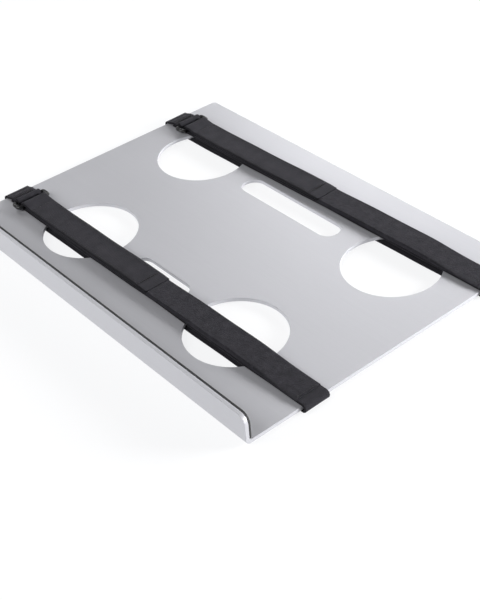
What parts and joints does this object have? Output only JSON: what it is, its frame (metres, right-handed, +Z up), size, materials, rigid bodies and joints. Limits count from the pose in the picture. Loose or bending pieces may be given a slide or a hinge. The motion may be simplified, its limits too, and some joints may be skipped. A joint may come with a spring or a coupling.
{
  "type": "laptop cooling tray",
  "caption": "Folded aluminium tray that holds a laptop: round and oblong vent holes, a lined front lip, and hook-and-loop cinch straps round the plate.",
  "frame": {"origin": "under the middle of the tray's footprint, at the level of the undersides of the straps that the tray stands on", "axes": "+X along the lip to the right, with the buckles at the -X end, +Y from the lip to the back edge, +Z up"},
  "size_m": [0.3572, 0.26, 0.0247],
  "materials": {
    "anodised_aluminium": "satin anodised, clear",
    "liner_rubber": "matt",
    "webbing": "woven, matt",
    "loop_tape": "looped pile, matt",
    "hook_tape": "moulded hooks on a woven ground",
    "buckle_plastic": "moulded, slightly glossy",
    "thread": "twisted polyester thread"
  },
  "bodies": {
    "tray": {"tray_plate": "anodised_aluminium", "lip_liner": "liner_rubber"},
    "front_strap": {"front_strap_band": "webbing", "front_loop_tape": "loop_tape", "front_anchor_stitching": "thread"},
    "front_buckle": {"front_buckle_ring": "buckle_plastic", "front_strap_fold": "webbing"},
    "front_tail": {"front_tail": "webbing", "front_tail_hook_tape": "hook_tape"},
    "front_pull_end": {"front_pull_end": "webbing", "front_pull_end_hook_tape": "hook_tape", "front_pull_end_stitching": "thread"},
    "rear_strap": {"rear_strap_band": "webbing", "rear_loop_tape": "loop_tape", "rear_anchor_stitching": "thread"},
    "rear_buckle": {"rear_buckle_ring": "buckle_plastic", "rear_strap_fold": "webbing"},
    "rear_tail": {"rear_tail": "webbing", "rear_tail_hook_tape": "hook_tape"},
    "rear_pull_end": {"rear_pull_end": "webbing", "rear_pull_end_hook_tape": "hook_tape", "rear_pull_end_stitching": "thread"}
  },
  "joints": [
    {"name": "front_strap_slide", "type": "slide", "parent": "tray", "child": "front_strap", "axis": [0, 1, 0], "range_m": [-0.031, 0.055]},
    {"name": "front_ring_rock", "type": "hinge", "parent": "front_strap", "child": "front_buckle", "pos_m": [-0.15799, -0.07699, 0.0084], "axis": [0.0113, -0.9999, 0], "range_deg": [0, 15]},
    {"name": "front_tail_lift", "type": "hinge", "parent": "front_buckle", "child": "front_tail", "pos_m": [-0.14924, -0.07689, 0.0116], "axis": [0.0113, -0.9999, 0], "range_deg": [0, 100]},
    {"name": "front_pull_end_peel", "type": "hinge", "parent": "front_tail", "child": "front_pull_end", "pos_m": [-0.0674, -0.07597, 0.0103], "axis": [0.0113, -0.9999, 0], "range_deg": [0, 120]},
    {"name": "rear_strap_slide", "type": "slide", "parent": "tray", "child": "rear_strap", "axis": [0, 1, 0], "range_m": [-0.055, 0.018]},
    {"name": "rear_ring_rock", "type": "hinge", "parent": "rear_strap", "child": "rear_buckle", "pos_m": [-0.15796, 0.08761, 0.0084], "axis": [0.0227, -0.9997, 0], "range_deg": [0, 15]},
    {"name": "rear_tail_lift", "type": "hinge", "parent": "rear_buckle", "child": "rear_tail", "pos_m": [-0.14921, 0.08781, 0.0116], "axis": [0.0227, -0.9997, 0], "range_deg": [0, 100]},
    {"name": "rear_pull_end_peel", "type": "hinge", "parent": "rear_tail", "child": "rear_pull_end", "pos_m": [-0.06738, 0.08967, 0.0103], "axis": [0.0227, -0.9997, 0], "range_deg": [0, 120]}
  ]
}
